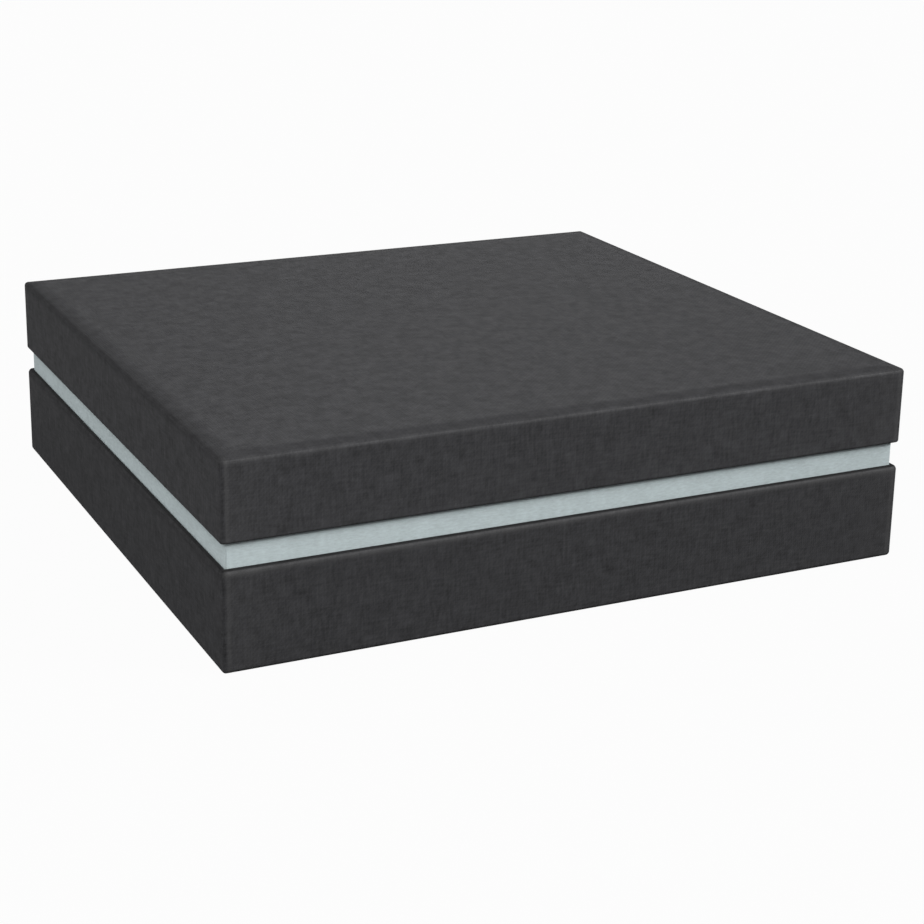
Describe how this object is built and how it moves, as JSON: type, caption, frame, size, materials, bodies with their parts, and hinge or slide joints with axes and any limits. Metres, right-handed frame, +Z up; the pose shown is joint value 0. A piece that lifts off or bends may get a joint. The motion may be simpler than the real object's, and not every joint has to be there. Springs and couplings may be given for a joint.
{
  "type": "shoulder neck gift box",
  "caption": "Rigid gift box with a lift-off lid over a shoulder neck that shows as a pale band between lid and base.",
  "frame": {"origin": "centre of the underside, on the surface that the box stands on", "axes": "+Z up, the way the lid lifts; +X to the right along the long side and +Y to the back, seen from the front"},
  "size_m": [0.33, 0.308, 0.092],
  "materials": {
    "textured_wrap": "matt charcoal paper embossed with a fine linen weave",
    "neck_paper": "pale blue-grey paper with a silky brushed grain",
    "lining_paper": "pale blue-grey paper, as the neck's",
    "greyboard": "uncoated grey bookbinder's board",
    "stay_tape": "uncoated kraft stay paper"
  },
  "bodies": {
    "base": {"base_tray_board": "greyboard", "base_stay_front_left": "stay_tape", "base_stay_front_right": "stay_tape", "base_stay_back_right": "stay_tape", "base_stay_back_left": "stay_tape", "base_wrap": "textured_wrap", "base_floor_liner": "lining_paper", "neck_board_front": "greyboard", "neck_board_right": "greyboard", "neck_board_back": "greyboard", "neck_board_left": "greyboard", "neck_stay_front_left": "stay_tape", "neck_stay_front_right": "stay_tape", "neck_stay_back_right": "stay_tape", "neck_stay_back_left": "stay_tape", "neck_wrap": "neck_paper"},
    "lid": {"lid_tray_board": "greyboard", "lid_stay_front_left": "stay_tape", "lid_stay_front_right": "stay_tape", "lid_stay_back_right": "stay_tape", "lid_stay_back_left": "stay_tape", "lid_wrap": "textured_wrap", "lid_top_liner": "lining_paper"}
  },
  "joints": [
    {"name": "lid_lift", "type": "slide", "parent": "base", "child": "lid", "axis": [0, 0, 1], "range_m": [0, 0.12]}
  ]
}
